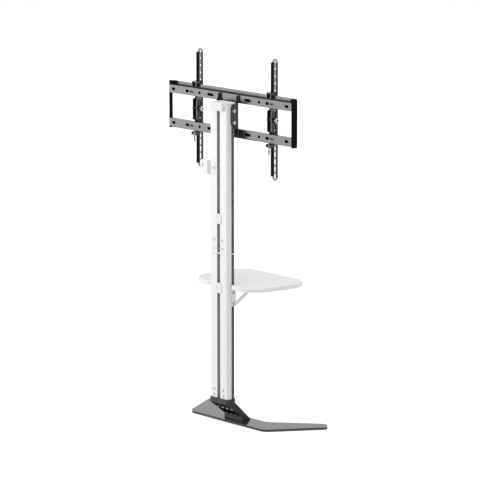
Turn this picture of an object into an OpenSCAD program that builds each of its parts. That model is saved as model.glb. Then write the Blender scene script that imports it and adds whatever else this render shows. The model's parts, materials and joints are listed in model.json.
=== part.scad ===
// Floor stand for a flat screen: a flat steel base with two splayed legs, a ribbed
// inclined foot casting, a two-piece extruded column, a rail mount with two sliding
// hook brackets and tilting arms, and a shelf. X runs along the rails, +Y is the
// screen side and Z is up. Heights are taken from the underside of the base plate.

/* [Base plate] */
// Thickness of the base plate
plate_t = 8; // [6:1:12]
// Depth of the cross bar of the base plate
bar_d = 85; // [78:1:110]
// Distance from the column centre to the rear edge of the base plate
rear_setback = 17; // [5:1:22]
// Half width of the rear edge before its corners are rounded
rear_half_w = 201; // [185:1:230]
// Half width over the outer corners of the leg tips
tip_half_w = 316; // [300:1:335]
// Length from the rear edge to the outer corner of a leg tip
tip_outer_l = 196; // [185:1:220]
// Half width between the inner corners of the leg tips
tip_inner_half_w = 272; // [255:1:280]
// Length from the rear edge to the inner corner of a leg tip
tip_inner_l = 228; // [220:1:245]
// Half width of the straight front edge of the cross bar
crotch_half_w = 115; // [100:1:130]
// Radius of the rear corners
rear_corner_r = 42; // [20:1:50]
// Radius of the leg tip corners
tip_corner_r = 20; // [8:1:24]
// Radius where a leg runs into the cross bar
crotch_r = 60; // [20:1:80]

/* [Foot casting] */
// Height of the underside of the collar over the floor side of the base plate
collar_z = 74; // [68:1:90]
// Height of the collar round the column
collar_h = 18; // [14:1:24]
// Wall of the collar outside the column
collar_wall = 2.8; // [2:0.2:4]
// Number of ribs under the inclined body
rib_count = 5; // [3:1:7]
// Thickness of an inner rib
rib_t = 4; // [3:0.5:6]
// Thickness of the inclined upper wall
ramp_t = 7; // [5:1:10]

/* [Column] */
// Width of the column
col_w = 94.4; // [92:0.2:104]
// Depth of the column
col_d = 36; // [35:0.5:40]
// Radius of the long edges of the column
col_r = 8; // [5:0.5:8]
// Wall of the extrusion
col_wall = 2.2; // [2:0.1:2.6]
// Height of the top of the column over the floor side of the base plate
col_top_z = 1130; // [1110:1:1150]
// Height of the joint between the two column sections
col_joint_z = 607; // [600:1:620]
// Width of the rear cable channel opening
channel_open_w = 16; // [14:0.5:18]
// Inner width of the cable channel
channel_w = 22; // [21:0.5:24]
// Depth of the cable channel behind its lips
channel_d = 18; // [12:0.5:19]
// Width of the side slot opening
slot_open_w = 12; // [10:0.5:13]
// Distance of the side slot centre toward the screen from the column centre
slot_y = 7; // [6:0.1:7.4]

/* [Screen mount] */
// Height of the middle of the mount
mount_z = 1087; // [1060:1:1090]
// Half length of the two rails
rail_half_l = 327.6; // [318:0.2:345]
// Distance of the rear faces of the rails from the column centre
rail_y = 30; // [28:0.5:34]
// Thickness of the rail sheet
rail_t = 2; // [1.5:0.1:2.5]
// Height of a rail face
rail_face_h = 28; // [26:0.5:32]
// Clear height between the two rails
rail_gap_h = 91; // [89:0.5:96]
// Depth of the outer rail flanges
rail_flange_d = 20.7; // [20:0.1:24]
// Depth of the inner rail flanges
rail_inner_d = 14.5; // [10:0.5:16]
// Height of the hanging lip on the upper rail
upper_lip_h = 13.5; // [12:0.5:16]
// Height of the lip under the lower rail
lower_lip_h = 7; // [5:0.5:8]
// Depth of the end caps beyond the rails
cap_nose_w = 14.4; // [12:0.2:18]

/* [Arms] */
// Distance of each arm from the middle of the rails
arm_x = 200; // [150:1:240]
// Length of an arm from end to end
arm_l = 421; // [411:1:431]
// Width of an arm
arm_w = 28; // [26.8:0.2:30]
// Depth of the arm flanges behind the front face
arm_d = 9; // [8:0.5:9]
// Thickness of the arm sheet
arm_t = 2; // [1.5:0.1:2.4]
// Distance of the front face of the arms from the column centre
arm_front_y = 68.5; // [68:0.5:70]
// Spacing of the fixing holes along an arm
hole_pitch = 25; // [24:0.5:26]
// Diameter of the fixing holes
hole_d = 8; // [6:0.5:9]
// Largest tilt of the arms either way
tilt_deg = 5; // [3:0.5:5]

/* [Shelf] */
// Height of the shelf rim over the floor side of the base plate
shelf_z = 500; // [480:1:505]
// Half width of the shelf at its rear edge
shelf_rear_half_w = 172; // [150:1:190]
// Half width of the shelf at its front edge
shelf_front_half_w = 193; // [170:1:210]
// Distance of the rear edge behind the column centre
shelf_rear_y = 10.4; // [4:0.2:12]
// Distance of the front edge before the column centre
shelf_front_y = 252.8; // [230:0.4:270]
// Radius of the shelf corners
shelf_corner_r = 85; // [40:1:90]
// Height of the shelf skirt
shelf_skirt_h = 11; // [9:0.5:14]
// Width of the raised rim
shelf_rim_w = 8; // [5:0.5:12]
// Angle of the shelf brace
brace_deg = 32.6; // [28:0.2:35]

/* [Hidden] */

$fn = 48;

// Overrun of every cut past the face that it goes through
over = 1;
// Clearance between pieces that slide past each other
run = 0.3;
// Radial clearance of a pin or a screw in its hole
pin_fit = 0.08;
// Clearance between pieces that are fixed inside one another
seat = 0.2;

// Pads under the base
pad_h = 1.5;
pad_r = 12;
pad_inset = 34;

// Foot casting
collar_lip = 1.2;
foot_rear_y = 49;
foot_front_y = 85;
foot_rear_wall_t = 4;
foot_rear_wall_h = 10;
foot_floor_h = 8;
foot_toe_h = 3;
foot_cheek_t = 5;
foot_tooth_h = 3;
tenon_h = 52;
collar_floor_h = 4;
foot_bolt_r = 4;
foot_bolt_head_r = 6.5;
foot_bolt_head_h = 4.5;
foot_bolt_count = 4;
foot_bolt_pitch = 24;
foot_window_h = 8;

// Column section
slot_lip = 3;
slot_cavity_w = 15.6;
slot_cavity_d = 6.7;
side_chamber_w = 5;
band_t = 1.2;
band_proud = 0.7;
joiner_l = 110;
joiner_pocket = 2;
wall_screw_r = 3;
wall_screw_head_r = 4.4;
wall_screw_hole_r = 5;
wall_screw_head_h = 2;
wall_screw_l = 20;
joint_screw_x = 21;
joint_screw_first = 16;
joint_screw_pitch = 30;
base_screw_x = 25;
base_screw_first = 9;
base_screw_pitch = 20;
set_screw_r = 2;
set_screw_x = 10.4;
set_screw_drop = 10;
set_screw_h = 0.8;
socket_r = 1.7;
socket_d = 1.2;

// Top cap
cap_t = 3.5;
cap_block_w = 63.6;
cap_block_d = 11.8;
cap_block_h = 28;
cap_block_r = 5;
cap_wall = 2.4;
cap_plug_h = 9;

// Cable clips
clip_w = 30;
clip_h = 36;
clip_t = 2;
clip_r = 3;
clip_leg_t = 2.2;
clip_barb = 2;
clip_barb_t = 2;
clip_upper_z = 728;
clip_lower_z = 484.5;

// Side hook
hook_t = 1.5;
hook_edge_x = 50;
hook_inner_x = 14;
hook_taper = 12;
hook_z = 903.5;
hook_h = 53;
hook_end_h = 20;
hook_step = 8.4;
hook_out_l = 35;
hook_out_h = 51;
hook_out_r = 10;
hook_slot_w = 5;
hook_slot_l = 28;
hook_slot_inset = 12;
hook_screw_x = 25;
hook_screw_r = 4;
hook_screw_h = 2.2;

// Rail holes, measured from the middle of a rail
rail_hole_z = 14.25;
oval_l = 15;
oval_w = 9;
round_d = 9;
long_slot_l = 32;
pair_hole_d = 6;
pair_pitch = 11;
small_hole_d = 5;
hole_x_oval_out = 303;
hole_x_pair_a = 227;
hole_x_pair_b = 202.5;
hole_x_round = 160;
hole_x_slot = 100;
hole_x_small_a = 56;
hole_x_small_b = 43.5;

// Rail ends
end_plate_t = 2;
cap_chamfer = 12.5;
cap_front_in = 3;
cap_front_y = 46;
cap_corner_r = 8;
cap_nose_t = 2;

// Side brackets that carry the rails
side_t = 3;
side_rear = 2.5;
side_step_y = 13;
side_up_h = 35;
side_down_h = 29;
side_foot_y = 21;
side_up_neck = 20;
side_step_up_h = 42;
side_low_y = 10.6;
side_low_mid_y = 15.5;
side_low_h = 32;
side_low_mid_h = 57;
side_end_h = 72.5;
side_end_drop = 1.5;
t_nut_t = 5.4;
t_nut_l = 14;
t_screw_r = 3;
t_screw_head_r = 6;
t_screw_head_h = 3;
mount_screw_h = 20;

// Hook brackets
plate_hook_t = 2.5;
lip_clear = 0.5;
nose_y = 38;
nose_low_h = 76;
nose_top_h = 96.5;
tongue_y = 41;
tongue_mid_y = 44;
tongue_up_h = 36;
tongue_down_h = 43;
tongue_round = 5;
tab_y = 35;
tab_top_h = 82;
tab_low_h = 94;
tab_t = 5;
tab_front_y = 57;
bridge_t = 2.5;
pivot_y = 57;
pivot_r = 4;
pivot_head_r = 7.75;
pivot_head_t = 4.6;
pivot_nut_r = 7.2;
pivot_nut_t = 5.4;
spacer_r = 4;
spacer_end_r = 2.5;
spacer_h = 33.5;
lock_y = 40.4;
lock_r = 3;
lock_head_r = 3.7;
lock_head_h = 8;
lock_low_h = 117.3;

// Arms
ear_r = 11;
round_first = 200;
round_count = 7;
slot_first = 195;
slot_count = 5;
slot_l = 20;

// Shelf
tray_floor_t = 2.5;
tray_recess = 2;
tray_wall = 2;
notch_gap = 3.5;
shelf_plate_t = 2.5;
shelf_plate_rear = 1;
shelf_plate_front = 19;
shelf_plate_low = 77;
shelf_plate_top = 13;
brace_w = 13;
brace_arm_h = 10.5;
brace_reach = 124;
flange_w = 18;
shelf_screw_upper = 28;
shelf_screw_lower = 68;
tray_screw_r = 2;
tray_screw_head_r = 3.6;
tray_screw_head_h = 2;
tray_screw_inset = 18;
tray_screw_bite = 1.5;

// Worked out from the values above
foot_half_w = col_w / 2 + collar_wall;
collar_half_d = col_d / 2 + collar_wall;
col_bottom_z = collar_z + collar_floor_h;
foot_top_z = collar_z + collar_lip;
foot_toe_z = plate_t + foot_toe_h;
foot_in_d = collar_half_d - collar_lip;
foot_in_w = foot_half_w - collar_lip;
foot_slope = (foot_top_z - foot_toe_z) / (foot_front_y - foot_in_d);
chamber_in_x = channel_w / 2 + col_wall;
slot_in_x = col_w / 2 - slot_lip - slot_cavity_d;
chamber_out_x = slot_in_x - col_wall;
rear_face_y = -col_d / 2;
rail_flange_y = rail_y + rail_flange_d;
rail_outer_h = rail_gap_h / 2 + rail_face_h;
plate_out_x = arm_w / 2 - arm_t - run;
plate_in_x = plate_out_x - plate_hook_t;
web_in = arm_front_y - arm_t - pivot_y;
arm_half_l = arm_l / 2;
tray_floor_z = shelf_z - tray_recess - tray_floor_t;
side_in_x = col_w / 2 + run;
cap_rear_y = col_d / 2 + cap_block_d;
hook_rear_y = col_d / 2 + hook_step + hook_t;
y_front = max(shelf_front_y, tip_inner_l + rear_setback);
y_back = max(cap_rear_y, hook_rear_y);
y_mid = (y_front - y_back) / 2;

module place() {
    translate([0, -y_mid, pad_h]) children();
}

// Flat outline with rounded corners, centred
module rrect(w, d, r) {
    square([w - 2 * r, d], center = true);
    square([w, d - 2 * r], center = true);
    for (sx = [-1, 1], sy = [-1, 1])
        translate([sx * (w / 2 - r), sy * (d / 2 - r)]) circle(r);
}

// Flat slot with round ends, centred, along the first axis
module slot2(l, w) {
    square([l - w, w], center = true);
    for (s = [-1, 1]) translate([s * (l - w) / 2, 0]) circle(w / 2);
}

// Raises a drawing in the plane of Y and Z along X from x0
module along_x(x0, t) {
    translate([x0, 0, 0]) rotate([90, 0, 90]) linear_extrude(t) children();
}

// Raises a drawing in the plane of X and Z along Y from y0
module along_y(y0, t) {
    translate([0, y0 + t, 0]) rotate([90, 0, 0]) linear_extrude(t) children();
}

module xcyl(x0, y, z, r, l) {
    translate([x0, y, z]) rotate([0, 90, 0]) cylinder(h = l, r = r);
}

module ycyl(x, y0, z, r, l) {
    translate([x, y0, z]) rotate([-90, 0, 0]) cylinder(h = l, r = r);
}

// Base plate

function base_half() = [
    [rear_half_w, 0],
    [tip_half_w, tip_outer_l],
    [tip_inner_half_w, tip_inner_l],
    [crotch_half_w, bar_d]
];

module base_outline() {
    r = base_half();
    l = [for (i = [3:-1:0]) [-r[i].x, r[i].y]];
    translate([0, rear_setback])
        offset(r = -crotch_r) offset(r = crotch_r)
            offset(r = tip_corner_r) offset(delta = -tip_corner_r) intersection() {
                polygon(concat(r, l));
                offset(r = rear_corner_r) offset(delta = -rear_corner_r)
                    polygon([[rear_half_w, 0], [tip_half_w, tip_outer_l],
                             [tip_half_w, tip_outer_l + tip_inner_l],
                             [-tip_half_w, tip_outer_l + tip_inner_l],
                             [-tip_half_w, tip_outer_l], [-rear_half_w, 0]]);
            }
}

function foot_bolt_places() = [
    for (i = [0:foot_bolt_count - 1])
        [(i - (foot_bolt_count - 1) / 2) * foot_bolt_pitch, (foot_rear_y + foot_front_y) / 2]
];

module base_plate() {
    color("#26272b") place() difference() {
        linear_extrude(plate_t) base_outline();
        for (p = foot_bolt_places()) translate([p.x, p.y, -over]) {
            cylinder(h = plate_t + 2 * over, r = foot_bolt_r + seat);
            cylinder(h = foot_bolt_head_h + over, r = foot_bolt_head_r + seat);
        }
    }
}

function pad_places() = [
    for (sx = [-1, 1]) each [
        [sx * (rear_half_w - pad_inset), rear_setback + pad_inset],
        [sx * (tip_inner_half_w - pad_inset + tip_half_w - tip_inner_half_w),
         rear_setback + tip_outer_l - pad_inset / 2],
        [sx * pad_inset * 2, rear_setback + bar_d / 2]
    ]
];

module base_pads() {
    color("#101012") place()
        for (p = pad_places()) translate([p.x, p.y, -pad_h]) cylinder(h = pad_h, r = pad_r);
}

// Foot casting

// Where the underside of the upper wall lies at height z
function ramp_under_y(z) =
    foot_front_y - (z - foot_toe_z + ramp_t * sqrt(1 + foot_slope * foot_slope)) / foot_slope;

// Side view of the whole casting under the collar
module foot_side() {
    polygon([
        [-foot_in_d, collar_z], [-foot_in_d, foot_top_z], [foot_in_d, foot_top_z],
        [foot_front_y, foot_toe_z], [foot_front_y, plate_t],
        [foot_rear_y, plate_t], [foot_rear_y, plate_t + foot_rear_wall_h + foot_tooth_h]
    ]);
}

// Side view of the space between two ribs
module foot_bay() {
    top = collar_z + collar_lip / 2;
    floor_z = plate_t + foot_floor_h;
    polygon([
        [-collar_half_d, collar_z - over], [-collar_half_d, top],
        [ramp_under_y(top), top], [ramp_under_y(floor_z), floor_z],
        [foot_rear_y + foot_rear_wall_t, floor_z],
        [foot_rear_y + foot_rear_wall_t, plate_t + foot_rear_wall_h],
        [foot_rear_y - over, plate_t + foot_rear_wall_h]
    ]);
}

// Side view of the window in the upper wall, right under the collar
module foot_window() {
    translate([0, collar_z - foot_window_h])
        square([foot_front_y, foot_window_h + collar_lip / 2]);
}

module foot_casting() {
    inner_w = 2 * (foot_in_w - foot_cheek_t);
    bay_pitch = (inner_w + rib_t) / (rib_count - 1);
    color("#2b2c30") place() difference() {
        union() {
            difference() {
                along_x(-foot_in_w, 2 * foot_in_w) foot_side();
                for (i = [0:rib_count - 2])
                    along_x(-inner_w / 2 + i * bay_pitch, bay_pitch - rib_t) {
                        foot_bay();
                        foot_window();
                    }
            }
            translate([0, 0, collar_z]) linear_extrude(collar_h)
                rrect(2 * foot_half_w, 2 * collar_half_d, col_r + collar_wall);
            for (s = [-1, 1]) tenon(s, col_bottom_z, tenon_h);
        }
        difference() {
            translate([0, 0, col_bottom_z]) linear_extrude(collar_h)
                rrect(col_w + 2 * seat, col_d + 2 * seat, col_r + seat);
            for (s = [-1, 1]) tenon(s, col_bottom_z - over, tenon_h);
        }
        for (s = [-1, 1], i = [0, 1])
            tenon_bore(s * base_screw_x, col_bottom_z + col_hole_first() + i * base_screw_pitch);
        for (p = foot_bolt_places())
            translate([p.x, p.y, plate_t - over])
                cylinder(h = foot_floor_h - over, r = foot_bolt_r + pin_fit);
    }
}

// Height of the lowest base screw over the column end
function col_hole_first() = collar_h - collar_floor_h + base_screw_first;

// Block that fills one chamber of the column
module tenon(s, z0, h) {
    w = chamber_out_x - chamber_in_x - 2 * seat;
    d = col_d - 2 * col_wall - 2 * seat;
    translate([s * (chamber_in_x + chamber_out_x) / 2 - w / 2, -d / 2, z0]) cube([w, d, h]);
}

// Bore and pocket for a screw through the rear wall of the column
module tenon_bore(x, z) {
    ycyl(x, rear_face_y - over, z, wall_screw_r + pin_fit, wall_screw_l + over);
    ycyl(x, rear_face_y - over, z, wall_screw_head_r + seat,
         over + col_wall + seat + joiner_pocket);
}

module foot_bolts() {
    color("#8a8c90") place() for (p = foot_bolt_places()) translate([p.x, p.y, 0]) {
        translate([0, 0, seat]) cylinder(h = plate_t + foot_floor_h - 2 * over - seat, r = foot_bolt_r);
        difference() {
            translate([0, 0, seat]) cylinder(h = foot_bolt_head_h - seat, r = foot_bolt_head_r);
            translate([0, 0, -over]) cylinder(h = over + socket_d + seat, r = foot_bolt_r * 0.7, $fn = 6);
        }
    }
}

// Column

module chambers() {
    for (s = [-1, 1]) {
        translate([s * (chamber_in_x + chamber_out_x) / 2, 0])
            square([chamber_out_x - chamber_in_x, col_d - 2 * col_wall], center = true);
    }
}

module column_section() {
    ch_y = rear_face_y + col_wall;
    front_chamber = col_d / 2 - col_wall - (ch_y + channel_d + col_wall);
    slot_low = slot_y - slot_cavity_w / 2;
    difference() {
        rrect(col_w, col_d, col_r);
        chambers();
        // Rear cable channel
        translate([-channel_open_w / 2, rear_face_y - over])
            square([channel_open_w, col_wall + 2 * over]);
        translate([-channel_w / 2, ch_y]) square([channel_w, channel_d]);
        // Chamber before the channel
        translate([-channel_w / 2, ch_y + channel_d + col_wall])
            square([channel_w, front_chamber]);
        for (s = [-1, 1]) mirror([s < 0 ? 1 : 0, 0]) {
            // Side slot with its wider inner track
            translate([slot_in_x, slot_y - slot_open_w / 2])
                square([slot_cavity_d + slot_lip + over, slot_open_w]);
            translate([slot_in_x, slot_low]) square([slot_cavity_d, slot_cavity_w]);
            // Chamber behind the slot
            translate([slot_in_x, ch_y])
                square([side_chamber_w, slot_low - col_wall - ch_y]);
        }
    }
}

module column_lower() {
    z1 = col_joint_z - band_t / 2;
    color("#f2f2f2") place() difference() {
        translate([0, 0, col_bottom_z]) linear_extrude(z1 - col_bottom_z) column_section();
        for (s = [-1, 1], i = [0, 1])
            ycyl(s * base_screw_x, rear_face_y - over,
                 col_bottom_z + col_hole_first() + i * base_screw_pitch,
                 wall_screw_hole_r, col_wall + 2 * over);
        ycyl(set_screw_x, rear_face_y - over, col_joint_z - set_screw_drop,
             set_screw_r / 2, col_wall + 2 * over);
    }
}

module column_upper() {
    z0 = col_joint_z + band_t / 2;
    color("#f2f2f2") place() difference() {
        translate([0, 0, z0]) linear_extrude(col_top_z - z0) column_section();
        for (s = [-1, 1], i = [0, 1])
            ycyl(s * joint_screw_x, rear_face_y - over,
                 col_joint_z + joint_screw_first + i * joint_screw_pitch,
                 wall_screw_hole_r, col_wall + 2 * over);
    }
}

module column_joint_band() {
    color("#ffffff") place() translate([0, 0, col_joint_z - band_t / 2]) linear_extrude(band_t)
        difference() {
            rrect(col_w + 2 * band_proud, col_d + 2 * band_proud, col_r + band_proud);
            chambers();
        }
}

module column_joiners() {
    color("#c4c6c8") place() difference() {
        for (s = [-1, 1]) tenon(s, col_joint_z - joiner_l / 2, joiner_l);
        for (s = [-1, 1], i = [0, 1])
            tenon_bore(s * joint_screw_x,
                       col_joint_z + joint_screw_first + i * joint_screw_pitch);
    }
}

// Screw along +Y whose head lies in the pocket of a joiner
module wall_screw(x, z) {
    y0 = rear_face_y + col_wall + seat + joiner_pocket;
    difference() {
        union() {
            ycyl(x, y0 - wall_screw_head_h, z, wall_screw_head_r, wall_screw_head_h);
            ycyl(x, y0, z, wall_screw_r, wall_screw_l - col_wall - seat - joiner_pocket - over);
        }
        translate([x, y0 - wall_screw_head_h - over, z]) rotate([-90, 0, 0])
            cylinder(h = over + socket_d, r = socket_r, $fn = 6);
    }
}

module joint_screws() {
    color("#9a9ca0") place() {
        for (s = [-1, 1], i = [0, 1])
            wall_screw(s * joint_screw_x,
                       col_joint_z + joint_screw_first + i * joint_screw_pitch);
        ycyl(set_screw_x, rear_face_y - set_screw_h, col_joint_z - set_screw_drop,
             set_screw_r, set_screw_h);
        ycyl(set_screw_x, rear_face_y - set_screw_h, col_joint_z - set_screw_drop,
             set_screw_r / 2 - pin_fit, set_screw_h + col_wall + over);
    }
}

module column_base_screws() {
    color("#9a9ca0") place() for (s = [-1, 1], i = [0, 1])
        wall_screw(s * base_screw_x, col_bottom_z + col_hole_first() + i * base_screw_pitch);
}

module column_top_cap() {
    block_top = col_top_z + cap_t;
    color("#f4f4f4") place() difference() {
        union() {
            translate([0, 0, col_top_z]) linear_extrude(cap_t) rrect(col_w, col_d, col_r);
            for (s = [-1, 1])
                tenon(s, col_top_z - cap_plug_h, cap_plug_h + cap_t / 2);
            along_x(-cap_block_w / 2, cap_block_w)
                translate([rear_face_y, block_top - cap_block_h / 2]) intersection() {
                    rrect(2 * cap_block_d, cap_block_h, cap_block_r);
                    translate([-cap_block_d, -cap_block_h / 2]) square([cap_block_d, cap_block_h]);
                }
        }
        // Open underside over the cable channel
        translate([-channel_w / 2, -cap_rear_y + cap_wall, block_top - cap_block_h - over])
            cube([channel_w, cap_block_d - cap_wall + over, cap_block_h + over - cap_t]);
    }
}

// Cable clips

module cable_clip(z) {
    in_x = channel_open_w / 2 - run;
    difference() {
        along_y(rear_face_y - run - clip_t, clip_t)
            translate([0, z]) rrect(clip_w, clip_h, clip_r);
        along_y(rear_face_y - run - clip_t - over, clip_t / 2 + over)
            translate([0, z]) rrect(channel_open_w, clip_h / 2, clip_r);
    }
    for (s = [-1, 1]) mirror([s < 0 ? 1 : 0, 0, 0]) {
        translate([in_x - clip_leg_t, rear_face_y - run - over / 2, z - clip_h / 2 + clip_r])
            cube([clip_leg_t, col_wall + 2 * run + clip_barb_t + over / 2, clip_h - 2 * clip_r]);
        translate([in_x - over / 2, rear_face_y + col_wall + run, z - clip_h / 2 + clip_r])
            cube([clip_barb + over / 2, clip_barb_t, clip_h - 2 * clip_r]);
    }
}

module cable_clip_upper() {
    color("#f4f4f4") place() cable_clip(clip_upper_z);
}

module cable_clip_lower() {
    color("#f4f4f4") place() cable_clip(clip_lower_z);
}

// Side hook

module side_hook() {
    end_x = hook_edge_x + hook_out_l;
    color("#ececec") place() {
        difference() {
            along_y(rear_face_y - hook_t, hook_t) polygon([
                [-hook_edge_x, hook_z - hook_h / 2], [-hook_edge_x, hook_z + hook_h / 2],
                [-hook_inner_x - hook_taper, hook_z + hook_h / 2],
                [-hook_inner_x, hook_z + hook_end_h / 2], [-hook_inner_x, hook_z - hook_end_h / 2],
                [-hook_inner_x - hook_taper, hook_z - hook_h / 2]
            ]);
            ycyl(-hook_screw_x, rear_face_y - hook_t - over, hook_z,
                 hook_screw_r / 2 + pin_fit, hook_t + 2 * over);
        }
        translate([-hook_edge_x, rear_face_y - hook_step - hook_t, hook_z - hook_out_h / 2])
            cube([hook_t, hook_step + hook_t, hook_out_h]);
        along_y(rear_face_y - hook_step - hook_t, hook_t) difference() {
            translate([-hook_edge_x, hook_z]) union() {
                translate([-hook_out_l + hook_out_r, -hook_out_h / 2])
                    square([hook_out_l - hook_out_r + hook_t, hook_out_h]);
                translate([-hook_out_l, -hook_out_h / 2 + hook_out_r])
                    square([hook_out_r + over, hook_out_h - 2 * hook_out_r]);
                for (s = [-1, 1])
                    translate([-hook_out_l + hook_out_r, s * (hook_out_h / 2 - hook_out_r)])
                        circle(hook_out_r);
            }
            translate([-end_x + hook_slot_inset, hook_z]) rotate(90) slot2(hook_slot_l, hook_slot_w);
        }
    }
}

module side_hook_screw() {
    color("#9a9ca0") place() difference() {
        union() {
            ycyl(-hook_screw_x, rear_face_y - hook_t - hook_screw_h, hook_z, hook_screw_r, hook_screw_h);
            ycyl(-hook_screw_x, rear_face_y - hook_t, hook_z, hook_screw_r / 2, hook_t);
        }
        translate([-hook_screw_x, rear_face_y - hook_t - hook_screw_h - over, hook_z])
            rotate([-90, 0, 0]) cylinder(h = over + socket_d, r = socket_r, $fn = 6);
    }
}

// Rails, drawn for the upper one and turned over for the lower one

module rail_section(lip_h) {
    z0 = rail_gap_h / 2;
    z1 = rail_outer_h;
    translate([rail_y, z0]) square([rail_t, rail_face_h]);
    translate([rail_y, z1 - rail_t]) square([rail_flange_d, rail_t]);
    translate([rail_flange_y - rail_t, z1 - rail_t]) square([rail_t, lip_h + rail_t]);
    translate([rail_y, z0]) square([rail_inner_d, rail_t]);
    translate([rail_y + rail_inner_d - rail_t, z0]) square([rail_t, rail_face_h]);
}

module rail_holes() {
    z = rail_gap_h / 2 + rail_hole_z;
    for (s = [-1, 1]) translate([0, z]) {
        translate([s * hole_x_oval_out, 0]) slot2(oval_l, oval_w);
        // The oval and the pair change places on the left
        translate([(s < 0 ? -hole_x_pair_a : hole_x_pair_b), 0]) slot2(oval_l, oval_w);
        for (e = [-1, 1])
            translate([(s < 0 ? -hole_x_pair_b : hole_x_pair_a) + e * pair_pitch / 2, 0])
                circle(pair_hole_d / 2);
        translate([s * hole_x_round, 0]) circle(round_d / 2);
        translate([s * hole_x_slot, 0]) slot2(long_slot_l, oval_w);
        for (x = [hole_x_small_a, hole_x_small_b])
            translate([s * x, 0]) circle(small_hole_d / 2);
    }
}

module rail(lip_h) {
    difference() {
        along_x(-rail_half_l, 2 * rail_half_l) rail_section(lip_h);
        along_y(rail_y - over, rail_t + 2 * over) rail_holes();
    }
}

module upper_rail() {
    color("#232428") place() translate([0, 0, mount_z]) rail(upper_lip_h);
}

module lower_rail() {
    color("#232428") place() translate([0, 0, mount_z]) mirror([0, 0, 1]) rail(lower_lip_h);
}

module rail_end_plates() {
    h = rail_face_h - 2 * rail_t;
    color("#1d1e21") place() for (sx = [-1, 1], sz = [-1, 1])
        translate([sx * (rail_half_l - end_plate_t / 2) - end_plate_t / 2, rail_y + rail_t,
                   mount_z + sz * (rail_gap_h + rail_face_h) / 2 - h / 2])
            cube([end_plate_t, rail_inner_d - 2 * rail_t, h]);
}

module end_cap() {
    x0 = rail_half_l;
    x1 = rail_half_l + cap_nose_w;
    low = rail_outer_h + lower_lip_h;
    high = rail_outer_h + upper_lip_h;
    intersection() {
        translate([0, 0, mount_z - low]) linear_extrude(low + high) polygon([
            [x0, rail_y], [x1 - cap_nose_t, rail_y + cap_chamfer],
            [x1, rail_y + cap_chamfer + cap_nose_t],
            [x1 - cap_front_in, cap_front_y], [x0, cap_front_y]
        ]);
        along_y(rail_y - over, cap_front_y - rail_y + 2 * over)
            translate([x0, mount_z + (high - low) / 2])
                rrect(2 * cap_nose_w, low + high, cap_corner_r);
    }
}

module end_cap_left() {
    color("#18191b") place() mirror([1, 0, 0]) end_cap();
}

module end_cap_right() {
    color("#18191b") place() end_cap();
}

// Side brackets

module side_plate() {
    difference() {
        along_x(side_in_x, side_t) translate([0, mount_z]) polygon([
            [rail_y, side_end_h], [side_foot_y, side_end_h - side_end_drop],
            [side_up_neck, side_step_up_h + side_step_y], [side_step_y, side_step_up_h],
            [side_step_y, side_up_h + side_rear], [side_low_y, side_up_h],
            [0, side_up_h], [-side_rear, side_up_h - side_rear],
            [-side_rear, side_rear - side_down_h], [0, -side_down_h],
            [side_low_y, -side_low_h],
            [side_low_mid_y, -side_low_mid_h], [side_foot_y, side_end_drop - side_end_h],
            [rail_y, -side_end_h]
        ]);
        for (s = [-1, 1])
            xcyl(side_in_x - over, slot_y, mount_z + s * mount_screw_h, t_screw_r + seat,
                 side_t + 2 * over);
    }
}

module side_bracket_left() {
    color("#202125") place() mirror([1, 0, 0]) side_plate();
}

module side_bracket_right() {
    color("#202125") place() side_plate();
}

// Screw along -X into the nut in the side slot, on the right-hand side
module slot_screw(z, plate) {
    x1 = side_in_x + plate;
    nut_x = col_w / 2 - slot_lip - run - t_nut_t;
    difference() {
        union() {
            xcyl(x1, slot_y, z, t_screw_head_r, t_screw_head_h);
            xcyl(nut_x, slot_y, z, t_screw_r, x1 - nut_x + over);
        }
        translate([x1 + t_screw_head_h - socket_d, slot_y, z]) rotate([0, 90, 0])
            cylinder(h = socket_d + over, r = socket_r * 1.3, $fn = 6);
    }
}

module slot_nut(z) {
    w = slot_cavity_w - 2 * run;
    nut_x = col_w / 2 - slot_lip - run - t_nut_t;
    difference() {
        translate([nut_x, slot_y - w / 2, z - t_nut_l / 2]) cube([t_nut_t, w, t_nut_l]);
        xcyl(nut_x - over, slot_y, z, t_screw_r + pin_fit, t_nut_t + 2 * over);
    }
}

module mount_bracket_screws() {
    color("#b9bbbe") place() for (sx = [-1, 1], sz = [-1, 1]) mirror([sx < 0 ? 1 : 0, 0, 0])
        slot_screw(mount_z + sz * mount_screw_h, side_t);
}

module mount_t_nuts() {
    color("#9a9ca0") place() for (sx = [-1, 1], sz = [-1, 1]) mirror([sx < 0 ? 1 : 0, 0, 0])
        slot_nut(mount_z + sz * mount_screw_h);
}

// Hook brackets

// How far forward a hook plate may reach at height z and still clear the tilted arm
function plate_front(z) =
    pivot_y + (web_in - run - abs(z) * sin(tilt_deg)) / cos(tilt_deg);

module hook_plate_outline() {
    slot_rear = rail_flange_y - rail_t - lip_clear;
    slot_front = rail_flange_y + lip_clear;
    lip_top = rail_outer_h + upper_lip_h + lip_clear;
    polygon([
        [plate_front(nose_top_h), nose_top_h], [nose_y + lip_clear, nose_top_h],
        [nose_y, nose_top_h - lip_clear], [nose_y, nose_low_h + lip_clear],
        [nose_y + lip_clear, nose_low_h],
        [slot_rear, nose_low_h], [slot_rear, lip_top], [slot_front, lip_top],
        [slot_front, tongue_up_h], [tongue_mid_y, tongue_up_h - tongue_round / 2],
        [tongue_y, tongue_up_h - tongue_round], [tongue_y, tongue_round - tongue_down_h],
        [tongue_mid_y, tongue_round / 2 - tongue_down_h], [slot_front, -tongue_down_h],
        [slot_front, -tab_top_h], [tab_y, -tab_top_h], [tab_y, -tab_low_h],
        [tab_front_y, -tab_low_h], [plate_front(tab_top_h), -tab_top_h],
        [plate_front(0), 0]
    ]);
}

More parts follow.
